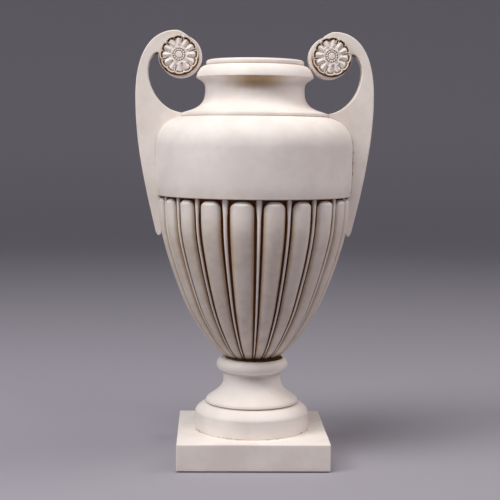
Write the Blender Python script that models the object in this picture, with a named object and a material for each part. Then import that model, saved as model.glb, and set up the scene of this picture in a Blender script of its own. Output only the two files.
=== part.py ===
"""Amphora-form urn in bonded marble, cast in sections and drawn together by one tie rod.

From the floor up: felt pads, square plinth, round drum, moulded stem, bedding ring, gadrooned bowl,
shoulder shell, and the neck with its rim. Two flat slab handles are pinned to the shell, and each ends
in a volute with a cast rosette on both faces. +Z is up, +X runs from handle to handle, the front is -Y.
Sizes below are in millimetres; the meshes are in metres.
"""

import math

import bmesh
import bpy
import numpy as np
from mathutils import Matrix

MM = 0.001
GAP = 0.3  # clearance between two pieces that touch
REBATE_PLAY = 1.2  # looser fit where a fluted wall slides into a round one

# Driving dimensions
HEIGHT = 598.6  # floor to the top of the volutes
BELLY_R = 138.0  # widest radius of the shell
PLINTH_SIDE = 209.6
PAD_H = 1.2
SLAB = 24.0  # thickness of a handle
WALL = 13.0  # casting wall
GADROONS = 20

# Heights of the joints, from the floor
PLINTH_TOP = 38.5
DRUM_TOP = 77.0
COLLAR_TOP = 140.0
BOWL_FOOT = 142.4
BELLY_LINE = 370.0
NECK_FOOT = 480.9
LIP_TOP = 558.8

# Radii of the turned sections
DRUM_R = 80.4
FOOT_R = 65.9
STEM_R = 40.6
COLLAR_R = 50.7
BAND_R = 135.6
NECK_BASE_R = 103.0
NECK_R = 69.5
RIM_R = 82.2
MOUTH_R = 58.0
ROD_HOLE_R = 6.5

# Registers: how far one casting keys into the next
REGISTER = 9.0
STEM_SPIGOT_R = 30.0
BOWL_BOSS_R = 26.0
BOWL_UPSTAND_R = 124.0
NECK_SPIGOT_R = 91.5

# Handle, volute and rosette
SEAT_X = NECK_BASE_R + 2 * GAP  # where a handle's root meets the foot of the neck
SCROLL_X = 103.5
SCROLL_Z = 562.6
SCROLL_R = 29.5
ROSETTE_X = 105.8
ROSETTE_Z = 564.9
ROSETTE_R = 26.6
ROSETTE_H = 5.5
PETALS = 6

# Fixings
ROD_R = 5.0
NUT_R = 9.8
NUT_H = 8.0
WASHER_R = 18.0
WASHER_H = 2.5
PIN_R = 4.0
PIN_HEIGHTS = {"lower": 390.0, "upper": 440.0}

SEGMENTS = 40
SMALL_SEGMENTS = 16

# Crest of the bowl's lobes, from its foot to the belly line: (radius, height)
BOWL_CREST = [(39.4, 142.4), (58.0, 159.0), (75.4, 182.3), (92.8, 211.3), (107.5, 245.8), (121.4, 285.7),
              (131.2, 325.0), (134.4, 370.0)]


# ---------------------------------------------------------------- outlines

def arc(cx, cz, radius, start, end, steps):
    """Points of a circular arc, angles in degrees from +X towards +Z."""
    angles = np.radians(np.linspace(start, end, steps + 1))
    return [(cx + radius * math.cos(a), cz + radius * math.sin(a)) for a in angles]


def bezier(p0, p1, p2, p3, steps):
    """Points of a cubic Bezier curve."""
    t = np.linspace(0.0, 1.0, steps + 1)[:, None]
    ends = (1 - t) ** 3 * np.array(p0) + t ** 3 * np.array(p3)
    middle = 3 * t * (1 - t) ** 2 * np.array(p1) + 3 * t ** 2 * (1 - t) * np.array(p2)
    return [tuple(point) for point in ends + middle]


def bowl_radius(z):
    """Radius of the lobe crests at height z: a Catmull-Rom curve through BOWL_CREST."""
    knots = np.array(BOWL_CREST)
    padded = np.vstack([2 * knots[0] - knots[1], knots, 2 * knots[-1] - knots[-2]])
    t = np.linspace(0.0, 1.0, 25)[:, None]
    curve = []
    for a, b, c, d in zip(padded, padded[1:], padded[2:], padded[3:]):
        curve.append(0.5 * (2 * b + (c - a) * t + (2 * a - 5 * b + 4 * c - d) * t ** 2
                            + (3 * b - a - 3 * c + d) * t ** 3))
    curve = np.vstack(curve)
    return float(np.interp(z, curve[:, 1], curve[:, 0]))


def shoulder_curve(offset, steps):
    """The shell's outside from the belly line to the neck joint, moved inwards by offset."""
    belly = bezier((BAND_R, BELLY_LINE + GAP), (137.2, 384), (BELLY_R, 405), (BELLY_R, 438), steps // 2)
    top = bezier((BELLY_R, 438), (BELLY_R, 465.1), (119.4, 478.3), (100.6, 480.6), steps)
    curve = np.array(belly + top[1:])
    along = np.gradient(curve, axis=0)
    along /= np.linalg.norm(along, axis=1)[:, None]
    inwards = np.column_stack([-along[:, 1], along[:, 0]])
    return [tuple(point) for point in curve + offset * inwards]


def body_radius(z):
    """Outside radius of the bowl and shell at height z, for what is fitted to them."""
    if z < BELLY_LINE:
        return bowl_radius(z)
    shell = np.array(shoulder_curve(0.0, 40))
    return float(np.interp(z, shell[:, 1], shell[:, 0]))


# ---------------------------------------------------------------- Blender helpers

def clear_scene():
    for old in list(bpy.data.objects):
        bpy.data.objects.remove(old, do_unlink=True)


def principled(name, colour, roughness, metallic=0.0):
    material = bpy.data.materials.new(name)
    material.use_nodes = True
    shader = material.node_tree.nodes["Principled BSDF"]
    shader.inputs["Base Color"].default_value = (*colour, 1.0)
    shader.inputs["Roughness"].default_value = roughness
    shader.inputs["Metallic"].default_value = metallic
    material.diffuse_color = (*colour, 1.0)
    return material


def finish_object(name, bm, material):
    """Turn a bmesh into a named, smooth-shaded object that keeps its creases."""
    mesh = bpy.data.meshes.new(name)
    bm.to_mesh(mesh)
    bm.free()
    mesh.shade_smooth()
    mesh.set_sharp_from_angle(angle=math.radians(35))
    obj = bpy.data.objects.new(name, mesh)
    bpy.context.collection.objects.link(obj)
    if material is not None:
        mesh.materials.append(material)
    return obj


def turned(name, outline, material, segments=SEGMENTS):
    """Spin a closed outline of (radius, height) points about +Z into a ring-shaped body."""
    bm = bmesh.new()
    verts = [bm.verts.new((r * MM, 0.0, z * MM)) for r, z in outline]
    edges = [bm.edges.new(pair) for pair in zip(verts, verts[1:] + verts[:1])]
    bmesh.ops.spin(bm, geom=verts + edges, cent=(0, 0, 0), axis=(0, 0, 1), angle=2 * math.pi, steps=segments)
    bmesh.ops.remove_doubles(bm, verts=bm.verts, dist=1e-5)
    bmesh.ops.recalc_face_normals(bm, faces=bm.faces)
    return finish_object(name, bm, material)


def cylinder(name, radius, z_low, z_high, material, segments=SMALL_SEGMENTS):
    bm = bmesh.new()
    middle = Matrix.Translation((0, 0, (z_low + z_high) / 2 * MM))
    bmesh.ops.create_cone(bm, cap_ends=True, segments=segments, radius1=radius * MM, radius2=radius * MM,
                          depth=(z_high - z_low) * MM, matrix=middle)
    return finish_object(name, bm, material)


def cut(obj, cutter):
    """Subtract a hidden wire-frame cutter from obj."""
    cutter.hide_render = True
    cutter.display_type = "WIRE"
    boolean = obj.modifiers.new("cut_" + cutter.name, "BOOLEAN")
    boolean.operation = "DIFFERENCE"
    boolean.solver = "EXACT"
    boolean.object = cutter


def lay_along_x(obj, x_middle, z):
    """Turn a piece made along +Z about the origin so that it lies along +X at height z."""
    obj.rotation_euler = (0.0, math.pi / 2, 0.0)
    obj.location = (x_middle * MM, 0.0, z * MM)


# ---------------------------------------------------------------- foot

def make_plinth(stone):
    """Square slab with softened edges, a rod hole, and a recess for the lower nut."""
    bottom = PAD_H + GAP
    bm = bmesh.new()
    size = Matrix.Diagonal((PLINTH_SIDE * MM, PLINTH_SIDE * MM, (PLINTH_TOP - bottom) * MM, 1.0))
    place = Matrix.Translation((0, 0, (PLINTH_TOP + bottom) / 2 * MM))
    bmesh.ops.create_cube(bm, size=1.0, matrix=place @ size)
    bmesh.ops.bevel(bm, geom=bm.edges[:], offset=1.5 * MM, segments=2, profile=0.5, affect="EDGES")
    plinth = finish_object("plinth", bm, stone)
    cut(plinth, cylinder("plinth_rod_hole", ROD_HOLE_R, bottom - 5, PLINTH_TOP + 5, None))
    cut(plinth, cylinder("plinth_nut_recess", WASHER_R + 4, bottom - 5, 20.0, None, SEGMENTS // 2))


def make_pads(felt):
    """Four felt discs near the plinth's corners; the urn stands on them."""
    reach = PLINTH_SIDE / 2 - 20
    for name, sx, sy in (("front_left", -1, -1), ("front_right", 1, -1), ("back_left", -1, 1), ("back_right", 1, 1)):
        pad = cylinder("felt_pad_" + name, 12.0, 0.0, PAD_H, felt, 20)
        pad.location = (sx * reach * MM, sy * reach * MM, 0.0)


def make_drum(stone):
    """Round drum with an upright side and a convex top, recessed for the stem's spigot."""
    side = [(DRUM_R, PLINTH_TOP + GAP), (DRUM_R, 63.0)]
    top = bezier((DRUM_R, 63.5), (79.2, 68.5), (72.5, 74.5), (62.0, DRUM_TOP), 4)
    recess = [(STEM_SPIGOT_R + GAP, DRUM_TOP), (STEM_SPIGOT_R + GAP, DRUM_TOP - REGISTER - GAP),
              (ROD_HOLE_R, DRUM_TOP - REGISTER - GAP), (ROD_HOLE_R, PLINTH_TOP + GAP)]
    turned("foot_drum", side + top + recess, stone)


def make_stem(stone):
    """Foot disc, scotia and torus collar in one casting, with a spigot below and a socket above."""
    bottom = DRUM_TOP + GAP
    disc = [(STEM_SPIGOT_R, bottom - REGISTER), (STEM_SPIGOT_R, bottom), (FOOT_R - 1.0, bottom), (FOOT_R, bottom + 1.0)]
    scotia = bezier((65.2, 80.6), (61.6, 87.6), (STEM_R, 92.0), (STEM_R, 111.0), 6)
    neck = [(STEM_R + 0.3, 118.0), (STEM_R + 2.2, 121.2)]
    torus_r = (COLLAR_TOP - 121.5) / 2
    torus = arc(COLLAR_R - torus_r, COLLAR_TOP - torus_r, torus_r, -80, 90, 6)
    socket = [(BOWL_BOSS_R + GAP, COLLAR_TOP), (BOWL_BOSS_R + GAP, COLLAR_TOP - REGISTER),
              (ROD_HOLE_R, COLLAR_TOP - REGISTER), (ROD_HOLE_R, bottom - REGISTER)]
    turned("foot_stem", disc + scotia + neck + torus + socket, stone)


def make_bowl_bed(mortar):
    """Ring of bedding mortar between the collar and the bowl's foot."""
    low = COLLAR_TOP + GAP
    high = BOWL_FOOT - GAP
    turned("bowl_bed", [(34.0, low), (34.6, (low + high) / 2), (34.0, high), (28.0, high), (28.0, low)], mortar)


# ---------------------------------------------------------------- bowl

def gadroon_section():
    """(fraction of one pitch, depth below the crest in mm) across a lobe, a groove, a fillet and a groove."""
    return [(-0.36, 5.0), (-0.22, 1.4), (0.0, 0.0), (0.22, 1.4), (0.36, 5.0), (0.5, 3.0)]


def make_bowl(stone):
    """Hollow bowl with twenty convex lobes, a fillet between each pair, a boss below and an upstand above."""
    pitch = 2 * math.pi / GADROONS
    lobe_middles = [(k + 0.5) * pitch for k in range(GADROONS)]
    columns = [(middle + share * pitch, depth) for middle in lobe_middles for share, depth in gadroon_section()]
    heights = [BOWL_FOOT + (BELLY_LINE - BOWL_FOOT) * step ** 1.5 for step in np.linspace(0.0, 1.0, 8)]
    rings = [[(BOWL_BOSS_R, a) for a, _ in columns], [(BOWL_BOSS_R, a) for a, _ in columns]]
    ring_heights = [COLLAR_TOP - REGISTER + GAP, BOWL_FOOT]
    for z in heights:
        crest = bowl_radius(z)
        rings.append([(crest - depth * (0.25 + 0.75 * crest / BOWL_CREST[-1][0]), a) for a, depth in columns])
        ring_heights.append(z)
    for z in (BELLY_LINE, BELLY_LINE + REGISTER):
        rings.append([(BOWL_UPSTAND_R, a) for a, _ in columns])
        ring_heights.append(z)
    bm = bmesh.new()
    grid = [[bm.verts.new((r * math.cos(a) * MM, r * math.sin(a) * MM, z * MM)) for r, a in ring]
            for ring, z in zip(rings, ring_heights)]
    for lower, upper in zip(grid, grid[1:]):
        for k in range(len(lower)):
            j = (k + 1) % len(lower)
            bm.faces.new((lower[k], lower[j], upper[j], upper[k]))
    bm.faces.new(list(reversed(grid[0])))
    bm.faces.new(grid[-1])
    bowl = finish_object("gadrooned_bowl", bm, stone)
    cut(bowl, make_bowl_cavity())
    cut(bowl, cylinder("bowl_rod_hole", ROD_HOLE_R, 120.0, 170.0, None))


def make_bowl_cavity():
    """Cutter for the bowl's hollow: it follows the outside at the casting's wall thickness."""
    floor = BOWL_FOOT + 15.6
    wall = [(bowl_radius(z) - WALL - 5.0, z) for z in (floor + 6, 185.0, 215.0, 250.0, 290.0, 330.0)]
    outline = [(0.001, floor), (wall[0][0] - 8, floor)] + wall
    outline += [(BOWL_UPSTAND_R - 7, BELLY_LINE), (BOWL_UPSTAND_R - 7, BELLY_LINE + 20), (0.001, BELLY_LINE + 20)]
    return turned("bowl_cavity", outline, None)


# ---------------------------------------------------------------- shell and neck

def make_shell(stone):
    """Belly band and shoulder: a hollow shell with a rebate for the bowl and an eye for the neck."""
    outside = shoulder_curve(0.0, 7)
    inside = [point for point in shoulder_curve(WALL, 6) if BELLY_LINE + 20 < point[1] < 463]
    eye = NECK_SPIGOT_R + GAP
    top = [(eye, outside[-1][1]), (eye, 468.0)]
    rebate_r = BOWL_UPSTAND_R + REBATE_PLAY
    rebate_top = BELLY_LINE + REGISTER + GAP
    rebate = [(rebate_r - 1.5, rebate_top + 3), (rebate_r, rebate_top), (rebate_r, BELLY_LINE + GAP)]
    shell = turned("shoulder_shell", outside + top + list(reversed(inside)) + rebate, stone)
    for level, z in PIN_HEIGHTS.items():
        bore = cylinder("shell_bore_" + level, PIN_R + GAP, -BELLY_R - 20, BELLY_R + 20, None)
        lay_along_x(bore, 0.0, z)
        cut(shell, bore)


def make_neck(stone):
    """Neck, flared rim and lip in one casting, with a spigot that hangs in the shell's eye."""
    base = [(NECK_SPIGOT_R, 470.0), (NECK_SPIGOT_R, NECK_FOOT), (NECK_BASE_R, NECK_FOOT), (NECK_BASE_R, 484.8)]
    scoop = bezier((102.2, 485.4), (88.0, 490.0), (NECK_R, 492.2), (NECK_R, 515.0), 6)
    flare = bezier((NECK_R, 518.0), (NECK_R, 528.1), (73.0, 528.0), (RIM_R - 0.3, 534.2), 4)
    band = bezier((RIM_R, 534.7), (80.5, 545.0), (75.0, 549.5), (69.4, 551.0), 4)
    lip = [(67.6, 551.6)] + bezier((68.4, 552.8), (69.2, 557.4), (66.5, LIP_TOP), (63.5, LIP_TOP), 3)
    bore = [(MOUTH_R + 1.5, LIP_TOP), (MOUTH_R, LIP_TOP - 1.5), (MOUTH_R, 505.0), (62.0, 492.0), (78.0, 476.0), (80.0, 470.0)]
    turned("neck_rim", base + scoop + flare + band + lip + bore, stone)


# ---------------------------------------------------------------- handles

def handle_outline():
    """Closed outline of one handle in its own plane, (x, z) for the +X side, anticlockwise."""
    tip = [(130.3, 317.0), (131.2, 314.0), (134.4, 313.6), (137.0, 318.5)]
    outer = bezier((137.0, 318.5), (152.1, 379.2), (166.2, 443.1), (166.2, 507.0), 9)
    crown = bezier((166.2, 507.0), (166.2, 573.9), (140.0, HEIGHT), (110.0, HEIGHT), 10)
    curl = bezier((110.0, HEIGHT), (104.0, HEIGHT), (97.5, 593.8), (92.45, 589.95), 3)
    scroll = arc(SCROLL_X, SCROLL_Z, SCROLL_R, 112, 366, 18)
    loop_top = bezier((134.0, 566.9), (144.2, 568.5), (148.8, 552.0), (148.8, 543.0), 6)
    loop_foot = bezier((148.8, 543.0), (148.8, 516.4), (130.1, 488.4), (SEAT_X, 485.4), 9)
    seat = [(x, z) for x, z in reversed(shoulder_curve(-3 * GAP, 12)) if x > SEAT_X and z > BELLY_LINE + 6]
    seat = [(SEAT_X, NECK_FOOT + GAP)] + seat
    lap = [(body_radius(z) + 2 * GAP, z) for z in (BELLY_LINE - 0.5, 345.0, 330.0)]
    lap = [(BAND_R + 2 * GAP, BELLY_LINE - 0.5)] + lap
    return tip + outer[1:] + crown[1:] + curl[1:] + scroll[1:] + loop_top + loop_foot[1:] + seat + lap


def make_handle(side, sign, stone):
    """Slab handle with chamfered edges, drilled for its two pins; sign mirrors it to -X."""
    outline = handle_outline()
    bm = bmesh.new()
    face = bm.faces.new([bm.verts.new((sign * x * MM, -SLAB / 2 * MM, z * MM)) for x, z in outline])
    new = bmesh.ops.extrude_face_region(bm, geom=[face])["geom"]
    moved = [item for item in new if isinstance(item, bmesh.types.BMVert)]
    bmesh.ops.translate(bm, verts=moved, vec=(0, SLAB * MM, 0))
    bmesh.ops.recalc_face_normals(bm, faces=bm.faces)
    rims = [edge for edge in bm.edges if abs(edge.verts[0].co.y - edge.verts[1].co.y) < 1e-6]
    bmesh.ops.bevel(bm, geom=rims, offset=1.1 * MM, segments=1, profile=0.5, affect="EDGES")
    handle = finish_object("handle_" + side, bm, stone)
    for level, z in PIN_HEIGHTS.items():
        end = pin_end(z) + GAP
        bore = cylinder(f"handle_{side}_bore_{level}", PIN_R + GAP, -end / 2, end / 2, None)
        lay_along_x(bore, sign * end / 2, z)
        cut(handle, bore)


def pin_end(z):
    """How far out from the axis a handle pin reaches."""
    return body_radius(z) + 9.0


def make_pins(side, sign, steel):
    for level, z in PIN_HEIGHTS.items():
        start = BELLY_R - WALL + 1.5
        half = (pin_end(z) - start) / 2
        pin = cylinder(f"handle_{side}_pin_{level}", PIN_R, -half, half, steel, 12)
        lay_along_x(pin, sign * (start + half), z)


# ---------------------------------------------------------------- rosettes

def rosette_height(radius, angle):
    """Relief of a rosette above its back, in mm: boss, inner petals, hollow petals, notched rim."""
    share = radius / ROSETTE_R
    notch = max(0.0, math.cos(PETALS * angle)) ** 6
    if share < 0.22:
        return ROSETTE_H
    if share < 0.55:
        return ROSETTE_H - 2.0 + 0.8 * notch
    if share < 0.9:
        return ROSETTE_H - 2.4 - 1.0 * notch
    return ROSETTE_H - 0.8 - 1.5 * notch


def make_rosette(name, x, phase, facing, stone):
    """Round cast rosette; facing is -1 for the front of the handle and +1 for its back."""
    columns = 4 * PETALS
    radii = (5.0, 6.2, 14.0, 16.0, 22.5, 24.5, ROSETTE_R)
    back = (SLAB / 2 + GAP) * facing
    bm = bmesh.new()

    def vertex(radius, angle, height):
        return bm.verts.new(((x + radius * math.cos(angle)) * MM, (back + facing * height) * MM,
                             (ROSETTE_Z + radius * math.sin(angle)) * MM))

    angles = [phase + 2 * math.pi * k / columns for k in range(columns)]
    rings = [[vertex(r, a, rosette_height(r, a - phase)) for a in angles] for r in radii]
    rings.append([vertex(ROSETTE_R, a, 0.0) for a in angles])
    for inner, outer in zip(rings, rings[1:]):
        for k in range(columns):
            j = (k + 1) % columns
            bm.faces.new((inner[k], outer[k], outer[j], inner[j]))
    bm.faces.new(rings[0])
    bm.faces.new(rings[-1])
    bmesh.ops.recalc_face_normals(bm, faces=bm.faces)
    finish_object(name, bm, stone)


# ---------------------------------------------------------------- fixings

def ring(name, inner_r, outer_r, z_low, z_high, material, segments=24):
    outline = [(outer_r, z_low), (outer_r, z_high), (inner_r, z_high), (inner_r, z_low)]
    return turned(name, outline, material, segments)


def make_nut(name, z_low, steel):
    """Hexagonal nut with a plain bore."""
    nut = cylinder(name, NUT_R, z_low, z_low + NUT_H, steel, 6)
    cut(nut, cylinder(name + "_bore", ROD_R + GAP, z_low - 2, z_low + NUT_H + 2, None))


def make_tie(steel, rubber):
    """Threaded rod that draws plinth, drum, stem and bowl together, with its nuts, washers and seal."""
    recess_top = 20.0
    floor = BOWL_FOOT + 15.6
    bore = ROD_R + GAP
    ring("washer_lower", bore, WASHER_R, recess_top - GAP - WASHER_H, recess_top - GAP, steel)
    make_nut("nut_lower", recess_top - 2 * GAP - WASHER_H - NUT_H, steel)
    seal_top = floor + GAP + 3.0
    ring("rubber_seal", bore, WASHER_R + 2, floor + GAP, seal_top, rubber)
    ring("washer_upper", bore, WASHER_R, seal_top + GAP, seal_top + GAP + WASHER_H, steel)
    make_nut("nut_upper", seal_top + 2 * GAP + WASHER_H, steel)
    cylinder("tie_rod", ROD_R, 6.0, seal_top + WASHER_H + NUT_H + 5.0, steel)


# ---------------------------------------------------------------- assembly

def main():
    clear_scene()
    stone = principled("cast_stone", (0.80, 0.755, 0.705), 0.62)
    mortar = principled("bedding_mortar", (0.10, 0.06, 0.035), 0.95)
    steel = principled("stainless_steel", (0.56, 0.56, 0.55), 0.30, 1.0)
    rubber = principled("black_rubber", (0.02, 0.02, 0.02), 0.80)
    felt = principled("grey_felt", (0.09, 0.085, 0.08), 0.95)

    make_pads(felt)
    make_plinth(stone)
    make_drum(stone)
    make_stem(stone)
    make_bowl_bed(mortar)
    make_bowl(stone)
    make_shell(stone)
    make_neck(stone)
    for side, sign, phase in (("left", -1, 17.0), ("right", 1, 9.0)):
        make_handle(side, sign, stone)
        make_pins(side, sign, steel)
        make_rosette(f"rosette_{side}_front", sign * ROSETTE_X, math.radians(phase), -1, stone)
        make_rosette(f"rosette_{side}_back", sign * ROSETTE_X, math.radians(phase), 1, stone)
    make_tie(steel, rubber)


main()
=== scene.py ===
"""Looks of the amphora-form urn: bonded marble castings with an umber wash rubbed into their recesses.

Sizes are in millimetres, the meshes in metres. +Z is up, the front is -Y, +X runs from handle to handle.
"""

import math

import bpy
import numpy as np
from mathutils import Matrix, Vector


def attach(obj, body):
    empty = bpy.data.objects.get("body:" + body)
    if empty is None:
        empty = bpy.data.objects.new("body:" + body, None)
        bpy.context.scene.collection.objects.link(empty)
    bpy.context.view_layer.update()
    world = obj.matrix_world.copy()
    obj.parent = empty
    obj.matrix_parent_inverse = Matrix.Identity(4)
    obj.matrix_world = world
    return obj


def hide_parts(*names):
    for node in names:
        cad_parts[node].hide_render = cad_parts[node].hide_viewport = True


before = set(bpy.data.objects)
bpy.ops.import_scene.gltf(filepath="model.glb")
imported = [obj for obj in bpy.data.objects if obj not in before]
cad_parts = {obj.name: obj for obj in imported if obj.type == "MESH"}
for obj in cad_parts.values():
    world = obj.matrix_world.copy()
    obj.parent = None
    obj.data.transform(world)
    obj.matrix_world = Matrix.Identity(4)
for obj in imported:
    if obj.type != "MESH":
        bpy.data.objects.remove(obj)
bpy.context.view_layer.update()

MM = 0.001
ROOT = "root"

# Heights of the joints between castings
PLINTH_LOW = 1.5
PLINTH_TOP = 38.5
DRUM_TOP = 77.0
COLLAR_TOP = 140.0
BOWL_FOOT = 142.4
BELLY_LINE = 370.0
NECK_FOOT = 480.9
LIP_TOP = 558.8

# Radii
DRUM_R = 80.4
FOOT_R = 65.9
STEM_R = 40.6
COLLAR_R = 50.7
BAND_R = 135.6
BELLY_R = 138.0
NECK_BASE_R = 103.0
NECK_R = 69.5
RIM_R = 82.2
MOUTH_R = 58.0
ROD_HOLE_R = 6.5
UPSTAND_R = 124.0
SPIGOT_R = 91.5
WALL = 13.0

PLINTH_HALF = 104.8  # half the plinth's side
PLINTH_EDGE = 1.3  # radius of its worn edges and corners
NUT_RECESS_R = 22.0
NUT_RECESS_TOP = 20.0
PAD_R = 12.0
PAD_AT = 84.8  # each pad's distance from the middle, both ways
SLAB = 24.0  # thickness of the handles
ROSETTE_AT = (105.8, 564.9)  # distance from the axis and height of the rosettes' middles

GADROONS = 20
GADROON_TURN = 0.8  # degrees by which the ring of gadroons is turned round the axis
FACE_SHADE = 0.13  # faint painted shade on the upright sides of the plinth and all over the handles

# Crest of the gadroons from the bowl's foot to the belly line: (radius, height)
BOWL_CREST = np.array([(39.4, 142.4), (58.0, 159.0), (75.4, 182.3), (92.8, 211.3), (107.5, 245.8), (121.4, 285.7),
                       (131.2, 325.0), (134.4, 370.0)])


# ---------------------------------------------------------------- curves

def bezier(p0, p1, p2, p3, steps):
    """Cubic Bezier curve through p0 and p3, as an array of points."""
    t = np.linspace(0.0, 1.0, steps + 1)[:, None]
    p0, p1, p2, p3 = (np.array(p, float) for p in (p0, p1, p2, p3))
    return (1 - t) ** 3 * p0 + 3 * t * (1 - t) ** 2 * p1 + 3 * t ** 2 * (1 - t) * p2 + t ** 3 * p3


def arc(cx, cz, radius, start, end, steps):
    """Circular arc, angles in degrees from the first axis towards the second."""
    angles = np.radians(np.linspace(start, end, steps + 1))
    return np.column_stack([cx + radius * np.cos(angles), cz + radius * np.sin(angles)])


def joined(*parts):
    """One outline from several runs of points, dropping a point that repeats the one before it."""
    points = np.vstack([np.atleast_2d(np.array(part, float)) for part in parts])
    fresh = np.linalg.norm(points - np.roll(points, 1, axis=0), axis=1) > 1e-6
    return points[fresh]


def rounded(outline, radius, steps=4):
    """Closed outline with every corner replaced by a quadratic Bezier that starts and ends `radius` from it,
    or at 45% of a shorter edge."""
    before, after = np.roll(outline, 1, axis=0) - outline, np.roll(outline, -1, axis=0) - outline
    shorter = [np.minimum(radius / np.linalg.norm(edge, axis=1), 0.45)[:, None] for edge in (before, after)]
    start, end = outline + before * shorter[0], outline + after * shorter[1]
    t = np.linspace(0.0, 1.0, steps)[None, :, None]
    curve = (1 - t) ** 2 * start[:, None] + 2 * t * (1 - t) * outline[:, None] + t ** 2 * end[:, None]
    return curve.reshape(-1, 2)


def resampled(outline, step):
    """Closed outline with points added so that no edge is longer than step."""
    lengths = np.linalg.norm(np.roll(outline, -1, axis=0) - outline, axis=1)
    counts = np.maximum(1, np.ceil(lengths / step)).astype(int)
    first = np.repeat(np.arange(len(outline)), counts)
    share = (np.arange(len(first)) - np.repeat(np.cumsum(counts) - counts, counts)) / np.repeat(counts, counts)
    return outline[first] + share[:, None] * (np.roll(outline, -1, axis=0)[first] - outline[first])


def smoothstep(x, low, high):
    """0 below low, 1 above high, with an S-shaped rise between."""
    t = np.clip((x - low) / (high - low), 0.0, 1.0)
    return t * t * (3 - 2 * t)


def ripple(points, size, seed):
    """Smooth uneven waves between about -1 and 1: the sum of plane waves of about the given wavelength,
    whose directions and phases come from a seeded generator."""
    rng = np.random.default_rng(seed)
    directions = rng.normal(size=(8, 3))
    directions *= (rng.uniform(0.6, 1.4, 8) / np.linalg.norm(directions, axis=1))[:, None]
    phases = rng.uniform(0, 2 * math.pi, 8)
    total = np.zeros(points.shape[:-1])
    for direction, phase in zip(directions, phases):
        total += np.sin(points @ direction * (2 * math.pi / size) + phase)
    return total / 4.0


def bowl_crest(z):
    """Radius of the lobe crests at height z: a Catmull-Rom curve through BOWL_CREST."""
    knots = np.vstack([2 * BOWL_CREST[0] - BOWL_CREST[1], BOWL_CREST, 2 * BOWL_CREST[-1] - BOWL_CREST[-2]])
    a, b, c, d = (knots[k:len(knots) - 3 + k, None] for k in range(4))
    t = np.linspace(0.0, 1.0, 25)[None, :, None]
    curve = 0.5 * (2 * b + (c - a) * t + (2 * a - 5 * b + 4 * c - d) * t ** 2 + (3 * b - a - 3 * c + d) * t ** 3)
    curve = curve.reshape(-1, 2)
    return np.interp(z, curve[:, 1], curve[:, 0])


def shoulder_curve(offset, steps):
    """Outside of the shell from the belly line to the neck joint, moved inwards by offset."""
    belly = bezier((BAND_R, BELLY_LINE + 0.3), (137.2, 384), (BELLY_R, 405), (BELLY_R, 438), steps)
    top = bezier((BELLY_R, 438), (BELLY_R, 465.1), (119.4, 478.3), (100.6, 480.6), steps)
    curve = np.vstack([belly, top[1:]])
    along = np.gradient(curve, axis=0)
    along /= np.linalg.norm(along, axis=1)[:, None]
    return curve + offset * np.column_stack([-along[:, 1], along[:, 0]])


# ---------------------------------------------------------------- meshes

def grid_faces(rows, columns, closed_rows=False):
    """Corner numbers of the faces of a grid whose columns close on themselves, and its rows too if asked."""
    row = np.arange(rows if closed_rows else rows - 1)[:, None]
    column = np.arange(columns)[None, :]
    right, below = (column + 1) % columns, (row + 1) % rows
    corners = [row * columns + column, row * columns + right, below * columns + right, below * columns + column]
    return np.stack(corners, axis=-1).reshape(-1, 4)


def make_piece(name, node, points, faces, material, caps=(), wash_and_shade=None, crease=40.0):
    """Object from an array of points in mm, quads, and larger flat caps. A value from 0 to 1 is kept on the
    vertices: how dark a point is made by the umber wash in its recesses and, in places, by painted shade and
    shadow. Edges that turn by more than `crease` degrees are shaded sharp."""
    points = np.asarray(points, float).reshape(-1, 3)
    corners = np.concatenate([faces.ravel()] + [np.asarray(cap) for cap in caps])
    totals = np.concatenate([np.full(len(faces), 4)] + [[len(cap)] for cap in caps]).astype(int)
    mesh = bpy.data.meshes.new(name)
    mesh.vertices.add(len(points))
    mesh.vertices.foreach_set("co", (points * MM).astype(np.float32).ravel())
    mesh.loops.add(len(corners))
    mesh.loops.foreach_set("vertex_index", corners.astype(np.int32))
    mesh.polygons.add(len(totals))
    mesh.polygons.foreach_set("loop_start", (np.cumsum(totals) - totals).astype(np.int32))
    mesh.update(calc_edges=True)
    mesh.validate()
    held = mesh.attributes.new("wash_and_shade", "FLOAT", "POINT")
    values = np.zeros(len(points)) if wash_and_shade is None else np.clip(np.asarray(wash_and_shade, float).ravel(), 0.0, 1.0)
    held.data.foreach_set("value", values.astype(np.float32))
    mesh.shade_smooth()
    mesh.set_sharp_from_angle(angle=math.radians(crease))
    mesh.materials.append(material)
    piece = bpy.data.objects.new(name, mesh)
    bpy.context.scene.collection.objects.link(piece)
    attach(piece, ROOT)
    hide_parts(node)
    return piece


def spots(outline, places):
    """Stain on an outline: for each (first, second, reach, strength), strength times a bell of that reach round
    the place; the strongest wins."""
    places = np.array(places, float)
    away = np.linalg.norm(outline[:, None, :] - places[None, :, :2], axis=2) / places[None, :, 2]
    return (places[None, :, 3] * np.exp(-away ** 2)).max(axis=1)


def in_front(points, reach):
    """1 on the front of a turned piece, falling off as a bell of the given reach in degrees round the axis."""
    off = np.degrees(np.arctan2(points[..., 0], -points[..., 1]))
    return np.exp(-(off / reach) ** 2)


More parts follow.
